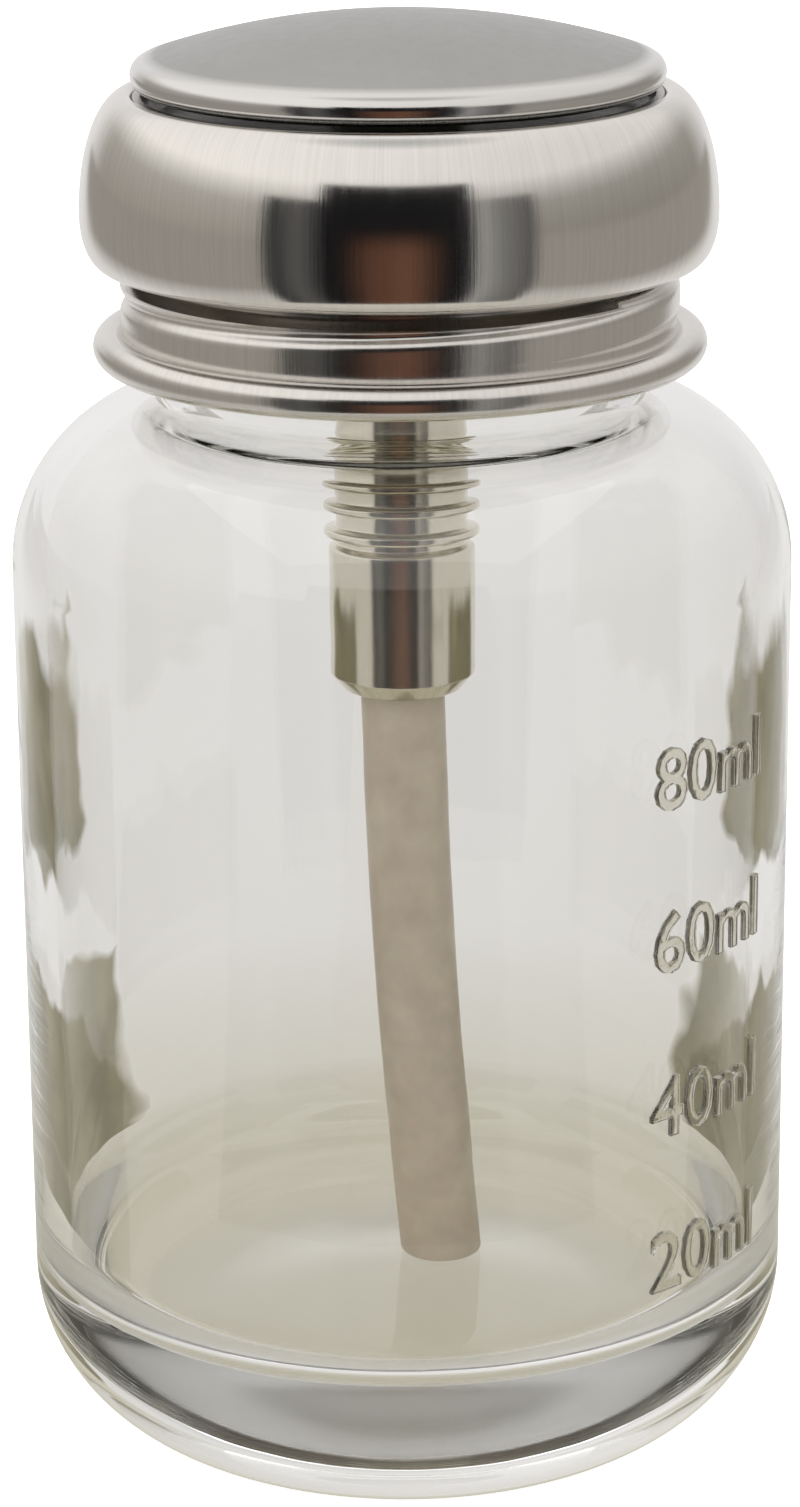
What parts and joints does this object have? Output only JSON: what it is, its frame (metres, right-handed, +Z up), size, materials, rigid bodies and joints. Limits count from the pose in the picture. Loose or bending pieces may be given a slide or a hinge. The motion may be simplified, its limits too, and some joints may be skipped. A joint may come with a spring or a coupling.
{
  "type": "disinfectant jar",
  "caption": "Round glass dispenser jar with a screw cap, a press-down pump head that feeds a shallow dish, and a domed flip lid.",
  "frame": {"origin": "on the jar's axis at the level it stands on", "axes": "+Z up the jar's axis; the lid's hinge is at +Y, so the front faces -Y; the dip tube leans towards +X"},
  "size_m": [0.054, 0.054, 0.101],
  "materials": {
    "clear_glass": "clear, polished",
    "liner_foam": "matt",
    "cap_steel": "bright rolled stainless steel",
    "head_steel": "mirror polished stainless steel",
    "lid_steel": "satin stainless steel",
    "plain_steel": "bright",
    "pump_plastic": "translucent cream",
    "tube_plastic": "milky translucent",
    "white_plastic": "smooth",
    "black_rubber": "matt",
    "pump_plating": "bright plated"
  },
  "bodies": {
    "jar": {"glass_jar": "clear_glass"},
    "liner": {"cap_liner": "liner_foam"},
    "cap": {"screw_cap": "cap_steel", "housing_washer": "black_rubber", "pump_housing": "pump_plating", "housing_nut": "pump_plastic", "stem_guide": "white_plastic", "dip_tube": "tube_plastic", "spring_seat": "white_plastic", "return_spring": "plain_steel"},
    "inlet_valve": {"inlet_ball": "plain_steel"},
    "head": {"head_shell": "head_steel", "dish_plate": "lid_steel", "pump_stem": "plain_steel", "piston": "white_plastic", "piston_seal": "black_rubber", "stem_collar": "pump_plastic", "outlet_nozzle": "pump_plastic", "hinge_bracket": "plain_steel", "hinge_pin": "plain_steel"},
    "outlet_valve": {"outlet_ball": "plain_steel"},
    "lid": {"lid_shell": "lid_steel", "lid_hinge_leaf": "plain_steel", "lid_liner": "white_plastic"}
  },
  "joints": [
    {"name": "cap_lift", "type": "slide", "parent": "jar", "child": "liner", "axis": [0, 0, 1], "range_m": [0, 0.0048]},
    {"name": "cap_turn", "type": "hinge", "parent": "liner", "child": "cap", "pos_m": [0, 0, 0], "axis": [0, 0, 1], "range_deg": [0, 540]},
    {"name": "head_press", "type": "slide", "parent": "cap", "child": "head", "axis": [0, 0, -1], "range_m": [0, 0.0042], "stiffness_N_per_m": 700, "springref_m": -0.004, "deforming": ["return_spring"]},
    {"name": "inlet_valve_lift", "type": "slide", "parent": "cap", "child": "inlet_valve", "axis": [0, 0, 1], "range_m": [0, 0.0011]},
    {"name": "outlet_valve_lift", "type": "slide", "parent": "head", "child": "outlet_valve", "axis": [0, 0, 1], "range_m": [0, 0.0005]},
    {"name": "lid_hinge", "type": "hinge", "parent": "head", "child": "lid", "pos_m": [0, 0.0199, 0.0969], "axis": [-1, 0, 0], "range_deg": [0, 105]}
  ],
  "couplings": [
    {"joint": "cap_lift", "follows": "cap_turn", "m_per_rad": 0.0005093}
  ]
}
